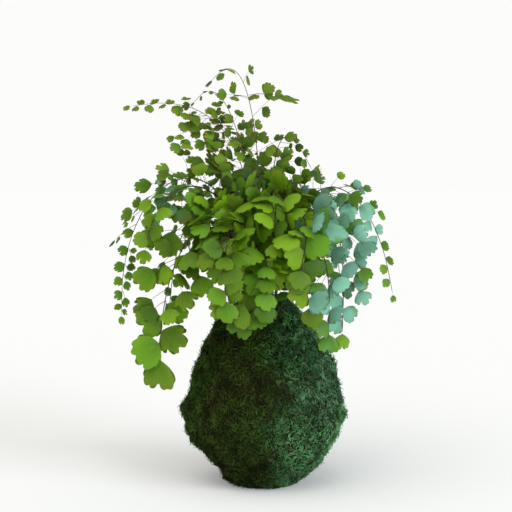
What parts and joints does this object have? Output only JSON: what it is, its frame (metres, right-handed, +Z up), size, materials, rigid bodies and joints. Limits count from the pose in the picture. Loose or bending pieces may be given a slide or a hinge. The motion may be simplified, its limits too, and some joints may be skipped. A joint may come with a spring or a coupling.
{
  "type": "moss ball fern",
  "caption": "Moss ball plant: a delicate branching fern with small fan-shaped leaflets growing from a rounded soil ball wrapped in sheet moss.",
  "frame": {"origin": "centre of the small flat spot that the moss ball rests on", "axes": "+Z up through the fern's crown, front along -Y"},
  "size_m": [0.2286, 0.1956, 0.3357],
  "materials": {
    "moss": "matte",
    "soil": "matte",
    "crown": "matte",
    "leaf": "satin"
  },
  "bodies": {
    "root": {"moss_wrap": "moss", "soil_ball": "soil", "fern_crown": "crown", "frond_upright_top": "leaf", "frond_upper_chain": "leaf", "frond_upper_left": "leaf", "frond_upper_right": "leaf", "frond_left_long": "leaf", "frond_left_mid": "leaf", "frond_left_low": "leaf", "frond_front_left": "leaf", "frond_front_middle": "leaf", "frond_front_right": "leaf", "frond_front_high": "leaf", "frond_right_mid": "leaf", "frond_right_long": "leaf", "frond_right_low": "leaf", "frond_back_right": "leaf", "frond_back_middle": "leaf", "frond_back_left": "leaf"}
  },
  "joints": []
}
